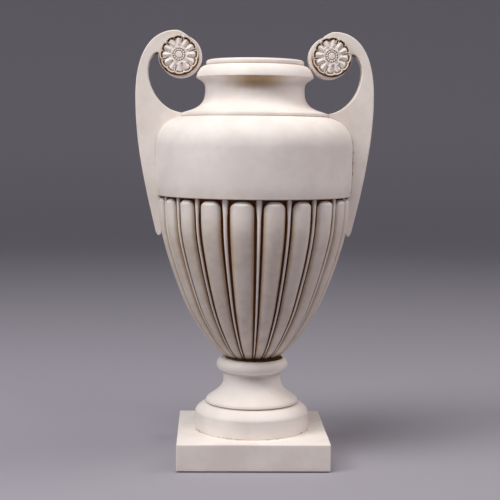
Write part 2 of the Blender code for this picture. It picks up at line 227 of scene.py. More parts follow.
def turned(name, node, outline, stained, wash, columns=192, unevenness=0.10):
    """Closed outline of (radius, height) carried round the axis: up the outside and down the inside, so its faces
    look outwards. Each point is moved off its radius by slow ripples, as a hand-finished casting is. How dark each
    point is made, by umber wash and in places by painted shade, is the stronger of the spots on its outline and
    of `wash`, a function of its points."""
    angles = np.linspace(0, 2 * math.pi, columns, endpoint=False)
    radius, height = outline[:, :1], np.broadcast_to(outline[:, 1:], (len(outline), columns))
    points = np.stack([radius * np.cos(angles), radius * np.sin(angles), height], axis=-1)
    swell = unevenness * ripple(points, 70.0, len(outline)) + 0.3 * unevenness * ripple(points, 17.0, columns)
    points[..., 0] += swell * np.cos(angles)
    points[..., 1] += swell * np.sin(angles)
    wash_and_shade = np.maximum(spots(outline, stained)[:, None], wash(points))
    faces = grid_faces(len(outline), columns, True)[:, ::-1]
    return make_piece(name, node, points, faces, STONE, wash_and_shade=wash_and_shade)


# ---------------------------------------------------------------- materials

def linear(colour):
    """Linear RGBA of an sRGB hex colour."""
    channels = [int(colour[k:k + 2], 16) / 255 for k in (1, 3, 5)]
    return [c / 12.92 if c <= 0.04045 else ((c + 0.055) / 1.055) ** 2.4 for c in channels] + [1.0]


def add(tree, kind, inputs=None, **settings):
    """Adds a node; inputs are constants or other nodes' outputs, by socket name or number."""
    node = tree.nodes.new(kind)
    for key, value in settings.items():
        setattr(node, key, value)
    for key, value in (inputs or {}).items():
        if isinstance(value, bpy.types.NodeSocket):
            tree.links.new(value, node.inputs[key])
        else:
            node.inputs[key].default_value = value
    return node


def new_material(name):
    """New material: returns it, its node tree, its shader, and the place on the piece in Object coordinates."""
    material = bpy.data.materials.new(name)
    material.use_nodes = True
    tree = material.node_tree
    shader = tree.nodes["Principled BSDF"]
    place = add(tree, "ShaderNodeTexCoord").outputs["Object"]
    return material, tree, shader, place


def bonded_marble():
    """Bonded marble, moulded and rubbed back: chalky warm white with faint clouds, a fine sandy grain, and an
    umber wash that stays in the recesses, dulls them, and fades to olive at its edge. The same olive and umber
    also serve as painted shade and shadow where the vertices ask for it."""
    material, tree, shader, place = new_material("bonded_marble")
    smooth = {"interpolation_type": "SMOOTHSTEP"}
    wash_and_shade = add(tree, "ShaderNodeAttribute", attribute_name="wash_and_shade").outputs["Fac"]
    # Grain of each pattern in mm, and its detail
    clouds, patches, flecks, grit = (
        add(tree, "ShaderNodeTexNoise", {"Vector": place, "Scale": 1000 / size_mm, "Detail": detail,
                                         "Roughness": 0.55}).outputs["Fac"]
        for size_mm, detail in ((60.0, 3.0), (14.0, 3.0), (2.6, 2.0), (0.9, 2.0)))
    # What each pattern does: its source, the part of the source's range that counts, and what that becomes
    cloudy, patchy, flecked, crumbly, soaked, drifting, damp, satin = (
        add(tree, "ShaderNodeMapRange", {0: source, 1: low, 2: high, 3: least, 4: most}, **smooth).outputs[0]
        for source, low, high, least, most in (
            (clouds, 0.35, 0.65, 0.0, 1.0), (patches, 0.50, 0.75, 0.0, 0.30), (flecks, 0.64, 0.80, 0.0, 0.10),
            (flecks, 0.25, 0.75, -0.16, 0.16), (wash_and_shade, 0.48, 0.75, 0.0, 1.0),
            (patches, 0.3, 0.7, -0.02, 0.02), (wash_and_shade, 0.05, 0.30, 0.0, 1.0), (patches, 0.3, 0.7, 0.52, 0.68)))
    # The wash, with the painted shade that shares its attribute, is broken up by crumbs where it is strong and by
    # soft drifts where it is weak
    crumbs = add(tree, "ShaderNodeMath", {0: crumbly, 1: soaked}, operation="MULTIPLY").outputs[0]
    drifts = add(tree, "ShaderNodeMath", {0: drifting, 1: damp}, operation="MULTIPLY").outputs[0]
    broken = wash_and_shade
    for uneven in (crumbs, drifts):
        broken = add(tree, "ShaderNodeMath", {0: broken, 1: uneven}, operation="ADD").outputs[0]
    olive_tint_and_shade, umber_wash_and_shadow, matt = (
        add(tree, "ShaderNodeMapRange", {0: broken, 1: low, 2: high, 3: least, 4: most}, **smooth).outputs[0]
        for low, high, least, most in ((0.03, 0.52, 0.0, 0.86), (0.42, 0.80, 0.0, 0.94), (0.20, 0.60, 0.5, 0.05)))
    # Layers of colour, each over the ones before; the olive and umber layers carry the wash and also painted shade
    # and shadow
    colour = linear("#EBE3DE")
    for share, layer in ((cloudy, "#F4EEE9"), (patchy, "#E6DCD2"), (flecked, "#D3C8B6"), (olive_tint_and_shade, "#A68B62"),
                         (umber_wash_and_shadow, "#6E3A15")):
        colour = add(tree, "ShaderNodeMix", {0: share, 6: colour, 7: linear(layer)}, data_type="RGBA").outputs[2]
    tree.links.new(colour, shader.inputs["Base Color"])
    tree.links.new(satin, shader.inputs["Roughness"])
    tree.links.new(matt, shader.inputs["Specular IOR Level"])
    waves = add(tree, "ShaderNodeBump", {"Strength": 0.3, "Distance": 0.0006, "Height": patches})
    sand = add(tree, "ShaderNodeBump", {"Strength": 0.35, "Distance": 0.00012, "Height": grit,
                                        "Normal": waves.outputs[0]})
    # Pinholes left by air bubbles, in about a third of cells 5 mm across
    cells = add(tree, "ShaderNodeTexVoronoi", {"Vector": place, "Scale": 1000 / 5.0})
    lot = add(tree, "ShaderNodeSeparateColor", {0: cells.outputs["Color"]}).outputs[0]
    chosen = add(tree, "ShaderNodeMapRange", {0: lot, 1: 0.60, 2: 0.66}, **smooth).outputs[0]
    bubble = add(tree, "ShaderNodeMapRange", {0: cells.outputs["Distance"], 1: 0.05, 2: 0.11, 3: 1.0, 4: 0.0},
                 **smooth).outputs[0]
    holes = add(tree, "ShaderNodeMath", {0: bubble, 1: chosen}, operation="MULTIPLY").outputs[0]
    pits = add(tree, "ShaderNodeBump", {"Strength": 0.6, "Distance": 0.0003, "Height": holes,
                                        "Normal": sand.outputs[0]}, invert=True)
    tree.links.new(pits.outputs[0], shader.inputs["Normal"])
    shader.inputs["IOR"].default_value = 1.49
    return material


def bedding_mortar():
    """Brown bedding mortar, squeezed out of the joint and left rough: dark, crumbly, quite without gloss."""
    material, tree, shader, place = new_material("bedding_mortar")
    crumbs = add(tree, "ShaderNodeTexNoise", {"Vector": place, "Scale": 1000 / 2.2, "Detail": 4.0}).outputs["Fac"]
    colour = add(tree, "ShaderNodeMix", {0: crumbs, 6: linear("#2E1C10"), 7: linear("#7E5F40")}, data_type="RGBA")
    bump = add(tree, "ShaderNodeBump", {"Strength": 0.8, "Distance": 0.0008, "Height": crumbs})
    tree.links.new(colour.outputs[2], shader.inputs["Base Color"])
    tree.links.new(bump.outputs[0], shader.inputs["Normal"])
    shader.inputs["Roughness"].default_value = 0.95
    return material


def stainless_steel():
    """Turned stainless steel: neutral grey metal, satin from the lathe, with faint rings and dull patches."""
    material, tree, shader, place = new_material("stainless_steel")
    stretched = add(tree, "ShaderNodeMapping", {"Vector": place, "Scale": (1.0, 1.0, 9.0)}).outputs[0]
    lines = add(tree, "ShaderNodeTexNoise", {"Vector": stretched, "Scale": 1000 / 4.0,
                                             "Detail": 3.0}).outputs["Fac"]
    cloud = add(tree, "ShaderNodeTexNoise", {"Vector": place, "Scale": 1000 / 9.0, "Detail": 2.0}).outputs["Fac"]
    colour = add(tree, "ShaderNodeMix", {0: cloud, 6: linear("#A9A8A4"), 7: linear("#C4C3BF")}, data_type="RGBA")
    rough = add(tree, "ShaderNodeMapRange", {0: cloud, 1: 0.3, 2: 0.7, 3: 0.24, 4: 0.42})
    bump = add(tree, "ShaderNodeBump", {"Strength": 0.3, "Distance": 0.0001, "Height": lines})
    tree.links.new(colour.outputs[2], shader.inputs["Base Color"])
    tree.links.new(rough.outputs[0], shader.inputs["Roughness"])
    tree.links.new(bump.outputs[0], shader.inputs["Normal"])
    shader.inputs["Metallic"].default_value = 1.0
    return material


def seal_rubber():
    """Moulded black rubber: near black, dusty, with a slight skin sheen."""
    material, tree, shader, place = new_material("seal_rubber")
    dust = add(tree, "ShaderNodeTexNoise", {"Vector": place, "Scale": 1000 / 5.0, "Detail": 4.0}).outputs["Fac"]
    colour = add(tree, "ShaderNodeMix", {0: dust, 6: linear("#1A1A1A"), 7: linear("#353330")}, data_type="RGBA")
    bump = add(tree, "ShaderNodeBump", {"Strength": 0.4, "Distance": 0.0002, "Height": dust})
    tree.links.new(colour.outputs[2], shader.inputs["Base Color"])
    tree.links.new(bump.outputs[0], shader.inputs["Normal"])
    shader.inputs["Roughness"].default_value = 0.68
    return material


def pad_felt():
    """Pressed grey wool felt: short tangled fibres, drawn about 1 mm long so that they show, and a soft sheen."""
    material, tree, shader, place = new_material("pad_felt")
    fibres = add(tree, "ShaderNodeTexNoise", {"Vector": place, "Scale": 1000 / 1.0, "Detail": 5.0,
                                              "Distortion": 2.0}).outputs["Fac"]
    colour = add(tree, "ShaderNodeMix", {0: fibres, 6: linear("#4A4743"), 7: linear("#6E6A64")}, data_type="RGBA")
    bump = add(tree, "ShaderNodeBump", {"Strength": 0.8, "Distance": 0.0004, "Height": fibres})
    tree.links.new(colour.outputs[2], shader.inputs["Base Color"])
    tree.links.new(bump.outputs[0], shader.inputs["Normal"])
    shader.inputs["Roughness"].default_value = 0.95
    shader.inputs["Sheen Weight"].default_value = 0.25
    return material


STONE = bonded_marble()
MORTAR = bedding_mortar()
STEEL = stainless_steel()
RUBBER = seal_rubber()
FELT = pad_felt()


# ---------------------------------------------------------------- foot

def square_ring(inset, count):
    """Points round a square with rounded corners, moved inwards by inset: straight sides of count points, closer
    together near the corners, and corners of seven, whose radius grows smaller with the inset."""
    radius = max(PLINTH_EDGE - inset, 0.02)
    reach = PLINTH_HALF - inset - radius
    side = np.sin(np.linspace(-math.pi / 2, math.pi / 2, count + 2))[1:-1] * reach
    edges = []
    for turn in range(4):
        bend = np.radians(np.linspace(-90, 0, 7) + 90 * turn + 90)
        turned_by = np.array([[math.cos(turn * math.pi / 2), -math.sin(turn * math.pi / 2)],
                              [math.sin(turn * math.pi / 2), math.cos(turn * math.pi / 2)]])
        flank = np.column_stack([np.full(count, PLINTH_HALF - inset), side]) @ turned_by.T
        middle = np.array([reach, reach]) @ turned_by.T
        corner = np.column_stack([np.cos(bend - math.pi / 2), np.sin(bend - math.pi / 2)])
        edges += [flank, middle + radius * corner]
    return np.vstack(edges)


def make_plinth():
    """Square slab: a profile of (inset, height) carried round a rounded square. Inside, the square rings change to
    circles for the rod hole above and the nut's recess below."""
    count = 45
    top, low, r = PLINTH_TOP, PLINTH_LOW, PLINTH_EDGE
    edge = [(r * (1 - math.cos(a)), r * (1 - math.sin(a))) for a in np.radians(np.linspace(90, 0, 7))]
    profile = [(d, low + h) for d, h in edge]
    profile += [(0.0, z) for z in np.linspace(low + r, top - r, 12)[1:-1]]
    profile += [(d, top - h) for d, h in reversed(edge)]
    profile += [(d, top) for d in (3.0, 5.0, 8.0, 12.0, 17.0, 22.0, 27.0, 32.0)]
    rings = [np.column_stack([square_ring(d, count), np.full((count + 7) * 4, z)]) for d, z in profile]
    angles = np.arctan2(rings[0][:, 1], rings[0][:, 0])
    circle = np.column_stack([np.cos(angles), np.sin(angles)])

    def round_ring(radius, z):
        return np.column_stack([circle * radius, np.full(len(circle), z)])

    inner_top = [round_ring(40.0, top), round_ring(ROD_HOLE_R, top), round_ring(ROD_HOLE_R, NUT_RECESS_TOP)]
    recess = [round_ring(NUT_RECESS_R, NUT_RECESS_TOP), round_ring(NUT_RECESS_R, low), round_ring(60.0, low)]
    points = np.stack(rings + inner_top + recess)
    off_axis = np.linalg.norm(points[..., :2], axis=-1)
    round_drum = 0.40 * np.exp(-((off_axis - DRUM_R) / 1.3) ** 2) * (points[..., 2] > top - 1)
    shown = (points[..., 2] > 3.0)[..., None]
    uneven = np.stack([swell * ripple(points, size, seed)
                       for swell, size, seed in ((0.16, 90.0, 3), (0.16, 90.0, 4), (0.10, 60.0, 5))], axis=-1)
    points = points + np.where(shown, uneven, 0.0)
    # The upright sides get a faint painted shade, which the top is spared.
    sides = FACE_SHADE * (np.abs(points[..., :2]).max(axis=-1) > PLINTH_HALF - 0.8)
    return make_piece("plinth_casting", "plinth", points,
                      grid_faces(len(points), points.shape[1], True), STONE,
                      wash_and_shade=np.maximum(round_drum, sides), crease=50.0)


def make_pads():
    """Felt discs: a low outline with a soft edge carried round each pad's own axis."""
    outline = rounded(np.array([(0.4, 0.0), (PAD_R, 0.0), (PAD_R, 1.45), (0.4, 1.45)]), 0.4, 5)
    angles = np.linspace(0, 2 * math.pi, 72, endpoint=False)
    corners = (("front_left", -1, -1), ("front_right", 1, -1), ("back_left", -1, 1), ("back_right", 1, 1))
    for name, sx, sy in corners:
        rim = np.column_stack([30 * np.cos(angles), 30 * np.sin(angles), 0 * angles])
        fuzz = 0.12 * ripple(rim, 9.0, sx + 2 * sy + 5)
        radius = outline[:, :1] * (1 + fuzz / PAD_R)
        points = np.stack([sx * PAD_AT + radius * np.cos(angles), sy * PAD_AT + radius * np.sin(angles),
                           np.broadcast_to(outline[:, 1:], radius.shape)], axis=-1)
        make_piece("pad_" + name, "felt_pad_" + name, points,
                   grid_faces(len(outline), 72, True), FELT)


def make_foot():
    """Drum and stem: two closed outlines carried round the axis."""
    side = [(DRUM_R, PLINTH_TOP + 0.1), (DRUM_R, 63.0)]
    top = bezier((DRUM_R, 63.5), (79.2, 68.5), (72.5, 74.5), (62.0, DRUM_TOP), 16)
    recess = [(30.3, DRUM_TOP), (30.3, 67.7), (ROD_HOLE_R, 67.7), (ROD_HOLE_R, PLINTH_TOP + 0.1)]

    def specks(points):
        """Specks of wash here and there along the foot of the drum."""
        uneven = np.clip(1.3 * ripple(points, 40.0, 62) * ripple(points, 8.0, 63) - 0.12, 0.0, 0.9)
        return uneven * smoothstep(-points[..., 2], -PLINTH_TOP - 2.2, -PLINTH_TOP - 0.4)

    turned("drum_casting", "foot_drum", resampled(rounded(joined(side, top, recess), 0.9), 3.0),
           [(FOOT_R + 0.3, DRUM_TOP - 0.4, 1.0, 0.50)], specks, columns=384)
    bottom = DRUM_TOP - 0.15
    disc = [(30.0, bottom - 8.8), (30.0, bottom), (FOOT_R - 0.7, bottom), (FOOT_R, bottom + 1.6)]
    scotia = bezier((65.2, 80.6), (61.6, 87.6), (STEM_R, 92.0), (STEM_R, 111.0), 24)
    neck = bezier((STEM_R, 111.0), (STEM_R, 114.0), (STEM_R + 0.2, 116.0), (STEM_R + 0.6, 118.4), 6)
    torus_r = (COLLAR_TOP - 121.5) / 2
    torus = arc(COLLAR_R - torus_r, COLLAR_TOP - torus_r, torus_r, -84, 90, 24)
    socket = [(26.3, COLLAR_TOP), (26.3, 131.0), (ROD_HOLE_R, 131.0), (ROD_HOLE_R, bottom - 8.8)]
    outline = resampled(rounded(joined(disc, scotia, neck, [(STEM_R + 1.6, 120.6)], torus, socket), 0.6), 3.0)

    def joint_wash_and_collar_shadow(points):
        """Wash round the bedding joint on the collar, heavier to the right, and a faint painted shadow under the
        collar, on the front.
        """
        radius = np.hypot(points[..., 0], points[..., 1])
        heavy = 0.60 + 0.40 * np.clip(points[..., 0] / 30, -1, 1) + 0.25 * ripple(points, 5.0, 64)
        joint = heavy * smoothstep(-radius, -45.5, -41.0) * smoothstep(points[..., 2], 136.0, 139.0)
        return np.maximum(joint, 0.26 * in_front(points, 34.0) * np.exp(-((points[..., 2] - 117.0) / 6.0) ** 2))

    turned("stem_casting", "foot_stem", outline,
           [(FOOT_R - 0.6, DRUM_TOP, 0.8, 0.65), (STEM_R + 1.2, 120.0, 2.6, 0.20)], joint_wash_and_collar_shadow)


def make_bed():
    """Bedding ring: a small round section carried round the joint and broken up by ripples, thicker to the
    right."""
    angles = np.linspace(0, 2 * math.pi, 320, endpoint=False)
    around = np.linspace(0, 2 * math.pi, 20, endpoint=False)[:, None]
    heavy = 0.90 + 0.40 * np.clip(np.cos(angles) - 0.5 * np.sin(angles), -1, 1)
    radius = 36.6 + 2.6 * np.cos(around) * heavy
    height = 141.4 + 1.9 * np.sin(around) * heavy
    points = np.stack([radius * np.cos(angles), radius * np.sin(angles), height + 0 * angles], axis=-1)
    crumbs = heavy * (0.60 * ripple(points, 4.2, 11) + 0.40 * ripple(points, 2.1, 12))
    points += crumbs[..., None] * np.stack([np.cos(around) * np.cos(angles), np.cos(around) * np.sin(angles),
                                            np.sin(around) + 0 * angles], axis=-1)
    return make_piece("bedding_ring", "bowl_bed", points,
                      grid_faces(20, 320, True)[:, ::-1], MORTAR)


# ---------------------------------------------------------------- bowl

LOBE_HALF = 0.384  # half width of a lobe, as a share of one pitch
LOBE_CORNER = 0.80  # radius of the corners of a lobe's end, as a share of its half width
LOBE_END = 8.0  # how far in from its rounded end a lobe is rolled over
LOBE_TOP = BELLY_LINE - 1.6  # where the lobes' rounded ends finish, below the band
GROOVE = 10.0  # depth of the grooves below the lobe crests at the belly
FILLET_HALF = 0.062  # half width of a fillet, as a share of one pitch
FILLET_FLARE = 0.85  # share by which a fillet grows wider at its top
FILLET_RISE = 6.2  # how far a fillet stands out of its grooves


def gadroon(u, z, crest):
    """Depth below the crest at u, a share of one pitch from a lobe's middle, and height z; and how dark the point
    is made there: umber wash in the grooves, and a tint of painted shade on the lobes.

    A lobe is a pillow: its depth follows a quarter ellipse from its edge inwards, where the distance to the edge
    is measured across the lobe and down from its rounded end. A fillet is a narrow half round between two
    grooves, and it flares at the top."""
    scale = 0.25 + 0.75 * crest / BOWL_CREST[-1, 0]
    pitch = 2 * math.pi * crest / GADROONS
    across = np.abs(u)
    half = LOBE_HALF * pitch
    down = LOBE_TOP - z
    corner = LOBE_CORNER * half
    over_side = across * pitch - (half - corner)
    over_end = corner - down
    inside = corner - np.hypot(np.maximum(over_side, 0.0), np.maximum(over_end, 0.0))
    inside = np.where((over_side < 0) & (over_end < 0), np.minimum(-over_side, -over_end) + corner, inside)
    roll = 1.0 - np.sqrt(1.0 - np.clip(across / LOBE_HALF, 0.0, 1.0) ** 2.05)
    end = 1.0 - np.sqrt(1.0 - (1.0 - np.clip(inside / LOBE_END, 0.0, 1.0)) ** 2.1)
    lobe = np.where(inside > 0, GROOVE * np.maximum(roll, end), GROOVE)
    flare = 1.0 + FILLET_FLARE * smoothstep(z, BELLY_LINE - 30, BELLY_LINE - 2)
    from_fillet = (0.5 - across) / (FILLET_HALF * flare)
    bead = GROOVE - FILLET_RISE * np.sqrt(np.clip(1.0 - np.abs(from_fillet) ** 2.2, 0.0, 1.0))
    bead = bead + 0.8 * smoothstep(z, BELLY_LINE - 1.8, BELLY_LINE - 0.6)
    depth = np.minimum(lobe, np.minimum(bead, GROOVE))
    # Painted shade: a tint that darkens the lobes more towards the foot, where they turn down, and towards their
    # sides, where it runs into the wash; the fillets keep a faint even one.
    painted_shade_tint = 0.11 + 0.15 * smoothstep(-z, -368, -315) + 0.24 * smoothstep(across, 0.58 * LOBE_HALF, LOBE_HALF)
    painted_shade_tint = np.where(across < 0.44, painted_shade_tint, 0.08)
    groove = smoothstep(depth, 0.44 * GROOVE, 0.80 * GROOVE)
    return depth * scale, np.maximum(painted_shade_tint, groove)


def set_out(angles):
    """The gadroons are not quite evenly set out: each fillet on the front departs by its own few degrees from its
    even place, and the lobes between are stretched to suit."""
    even = np.radians(np.array([-71.3, -53.2, -35.2, -17.2, 0.8, 18.8, 36.8, 54.8, 72.8]) - 90.0)
    off = np.radians([0.0, -1.1, -2.7, -1.9, 0.6, 0.8, 0.2, 1.4, 0.0])
    turn = (angles + math.pi) % (2 * math.pi) - math.pi
    return angles + np.interp(turn, even, off)


def make_bowl():
    """Bowl: for every height, a ring of columns whose radius is the crest less the gadroon depth. The rings go up
    the outside, over the upstand, and down the plain inside to the rod hole."""
    half_lobe = np.array([0.0, 0.06, 0.12, 0.17, 0.215, 0.255, 0.290, 0.317, 0.338, 0.354, 0.366, 0.375, 0.381,
                          0.386, 0.392, 0.400, 0.408, 0.416, 0.424, 0.432, 0.440, 0.449, 0.460, 0.475, 0.490, 0.5])
    share = np.concatenate([-half_lobe[:0:-1], half_lobe[:-1]])
    middles = (np.arange(GADROONS) + 0.5) / GADROONS
    turn = (middles[:, None] + share[None, :] / GADROONS).ravel()
    u = np.tile(share, GADROONS)
    angles = set_out(turn * 2 * math.pi + math.radians(GADROON_TURN))
    z = np.concatenate([BOWL_FOOT + np.array([0.0, 0.5, 1.2, 2.2]), np.linspace(147, 345, 34),
                        np.linspace(348.0, 354.0, 5), np.linspace(355.0, BELLY_LINE - 0.2, 30)])[:, None]
    crest = bowl_crest(z)
    flat = np.stack([crest * np.cos(angles), crest * np.sin(angles), z + 0 * angles], axis=-1)
    wander = 0.008 * ripple(flat, 120.0, 21) * smoothstep(z, 150, 200)
    depth, groove = gadroon(u + wander * np.sign(u) * (np.abs(u) < 0.45), z, crest)
    foot = 1.6 * np.exp(-(z - BOWL_FOOT) / 1.3)
    radius = crest - depth - foot + 0.12 * ripple(flat, 60.0, 22) + 0.05 * ripple(flat, 16.0, 23)
    tide = np.exp(-(z - BOWL_FOOT) / 5.0) * (0.66 + 0.34 * np.cos(angles + math.pi / 4))
    # In the spandrels under the belly band's overhang the wash is deepened into a painted shadow.
    under = smoothstep(z, BELLY_LINE - 7.0, BELLY_LINE - 2.0) * smoothstep(depth, 4.2, 7.5)
    heavy = 0.88 + 0.12 * np.cos(angles + math.radians(125)) + 0.06 * ripple(flat, 50.0, 24)
    wash_and_shade = np.maximum.reduce([heavy * groove, tide, under])
    outer = np.stack([radius * np.cos(angles), radius * np.sin(angles), z + 0 * angles], axis=-1)

    def plain(r, height):
        return np.stack([r * np.cos(angles), r * np.sin(angles), np.full(len(angles), height)], axis=-1)

    floor = BOWL_FOOT + 15.6
    wall = np.array([330.0, 290.0, 250.0, 215.0, 185.0, floor + 6])
    rows = [plain(UPSTAND_R, BELLY_LINE - 0.1), plain(UPSTAND_R, BELLY_LINE + 9),
            plain(UPSTAND_R - 7, BELLY_LINE + 9), plain(UPSTAND_R - 7, BELLY_LINE)]
    rows += [plain(bowl_crest(h) - WALL - 5.0, h) for h in wall]
    rows += [plain(bowl_crest(floor + 6) - WALL - 13.0, floor), plain(ROD_HOLE_R, floor), plain(ROD_HOLE_R, 131.3),
             plain(26.0, 131.3), plain(26.0, BOWL_FOOT)]
    points = np.concatenate([outer, np.stack(rows)])
    wash_and_shade = np.concatenate([wash_and_shade, np.zeros((len(rows), len(angles)))])
    return make_piece("gadroon_casting", "gadrooned_bowl", points,
                      grid_faces(len(points), len(angles), True), STONE, wash_and_shade=wash_and_shade, crease=60.0)


# ---------------------------------------------------------------- shell and neck

def seam_wash_and_band_shade(points):
    """Wash held along the seams between the shell and the two handles, and a faint darkening low on the belly band,
    part olive tint and part painted shade.
    """
    off_slab = np.abs(np.abs(points[..., 1]) - SLAB / 2)
    right = np.where(points[..., 0] > 0, 0.60, 0.30)
    seams = right * np.exp(-(off_slab / 0.9) ** 2) * (np.abs(points[..., 0]) > 95)
    return np.maximum(seams, 0.17 * smoothstep(-points[..., 2], -402, -372))


def make_shell():
    """Belly band and shoulder: one closed outline carried round the axis, with columns set close beside the
    handles, so that the wash along the seams is narrow."""
    outside = shoulder_curve(0.0, 26)
    inside = shoulder_curve(WALL, 14)
    inside = inside[(inside[:, 1] > BELLY_LINE + 20) & (inside[:, 1] < 463)][::-1]
    eye = SPIGOT_R + 0.3
    outline = joined([(BAND_R - 0.9, BELLY_LINE + 0.1)], outside, [(eye, 480.6), (eye, 468.0)], inside,
                     [(UPSTAND_R - 0.3, BELLY_LINE + 12.3), (UPSTAND_R + 1.2, BELLY_LINE + 9.3),
                      (UPSTAND_R + 1.2, BELLY_LINE + 0.1)])
    outline = resampled(rounded(outline, 0.8), 5.0)
    turned("shoulder_casting", "shoulder_shell", outline,
           [(BAND_R, BELLY_LINE, 1.3, 0.55), (100.6, NECK_FOOT, 1.6, 0.36)], seam_wash_and_band_shade,
           columns=288, unevenness=0.16)


def make_neck():
    """Neck, flared rim and lip: one closed outline carried round the axis."""
    base = [(SPIGOT_R, 470.0), (SPIGOT_R, NECK_FOOT - 0.2), (NECK_BASE_R - 0.4, NECK_FOOT - 0.2),
            (NECK_BASE_R, NECK_FOOT + 0.5), (NECK_BASE_R, 484.5)]
    scoop = bezier((101.9, 485.3), (88.0, 490.0), (NECK_R, 492.2), (NECK_R, 515.0), 26)
    flare = bezier((NECK_R, 517.0), (NECK_R, 528.1), (73.0, 528.0), (RIM_R - 0.5, 534.0), 16)
    band = bezier((RIM_R, 534.7), (80.5, 545.0), (75.0, 549.5), (69.4, 551.0), 16)
    lip = joined([(67.4, 551.2)], bezier((68.4, 552.6), (69.4, 557.4), (66.5, LIP_TOP), (63.5, LIP_TOP), 8))
    bore = [(MOUTH_R + 2.0, LIP_TOP), (MOUTH_R, LIP_TOP - 2.0), (MOUTH_R, 505.0), (62.0, 492.0), (78.0, 476.0),
            (80.0, 470.0)]
    outline = resampled(rounded(joined(base, scoop, flare, band, lip, bore), 0.55), 3.0)

    def painted_rim_shadow(points):
        """Painted shadow of the rim: a soft brown smear under it, on the front."""
        z = points[..., 2]
        return 0.54 * in_front(points, 34.0) * smoothstep(z, 508.0, 528.0) * smoothstep(-z, -535.0, -533.5)

    turned("neck_casting", "neck_rim", outline,
           [(NECK_BASE_R, NECK_FOOT, 0.8, 0.26), (101.6, 485.4, 1.2, 0.22), (67.8, 551.4, 1.2, 0.30),
            (75.0, 530.0, 5.0, 0.16)], painted_rim_shadow, unevenness=0.14)


# ---------------------------------------------------------------- handles

# How far from the axis a handle still lies against the shell, by height
SHELL_HEIGHTS = (371.0, 372.0, 438.0, 470.0, 486.0)
SHELL_REACH = (139.0, 139.5, 139.5, 131.0, 104.0)
SEAM_EDGE = 0.35  # radius of a handle's edge where it meets another casting
FREE_EDGE = 1.5  # and where it is free


def handle_outline():
    """Closed outline of one handle in its own plane, (x, z) on the +X side, anticlockwise. Its inner edge runs
    half a millimetre inside the shell and a few inside the lobes, so that no daylight shows between them."""
    tip = [(129.3, 318.0), (130.6, 314.6), (134.0, 313.6), (137.0, 318.5)]
    outer = bezier((137.0, 318.5), (152.1, 379.2), (166.2, 443.1), (166.2, 507.0), 60)
    crown = bezier((166.2, 507.0), (166.2, 573.9), (140.0, 598.6), (110.0, 598.6), 50)
    curl = bezier((110.0, 598.6), (104.0, 598.6), (97.5, 593.8), (92.45, 589.95), 10)
    scroll = arc(103.5, 562.6, 29.5, 112, 364, 90)
    loop_top = bezier((134.0, 566.6), (144.2, 568.5), (148.8, 552.0), (148.8, 543.0), 22)
    loop_foot = bezier((148.8, 543.0), (148.8, 516.4), (130.1, 488.4), (101.9, 485.2), 44)
    shell = shoulder_curve(0.5, 30)[::-1]
    seat = shell[(shell[:, 0] > 103.2) & (shell[:, 1] > BELLY_LINE + 2)]
    lap_z = np.linspace(BELLY_LINE - 2.0, 326.0, 12)
    lap = np.column_stack([bowl_crest(lap_z) - 3.5 * smoothstep(lap_z, 318, 334), lap_z])
    return joined(tip, outer[1:], crown[1:], curl[1:], scroll[1:], loop_top, loop_foot[1:],
                  [(101.9, NECK_FOOT - 0.3)], seat, lap)


def inward(outline):
    """Unit normals pointing into a closed anticlockwise outline, and the radius of the largest circle that
    touches the outline at each point from inside."""
    along = np.roll(outline, -1, axis=0) - np.roll(outline, 1, axis=0)
    along /= np.linalg.norm(along, axis=1)[:, None]
    normals = np.column_stack([-along[:, 1], along[:, 0]])
    gaps = outline[None, :, :] - outline[:, None, :]
    towards = np.einsum("ijk,ik->ij", gaps, normals)
    room = np.where(towards > 1e-6, (gaps ** 2).sum(-1) / (2 * np.maximum(towards, 1e-6)), np.inf).min(axis=1)
    return normals, room


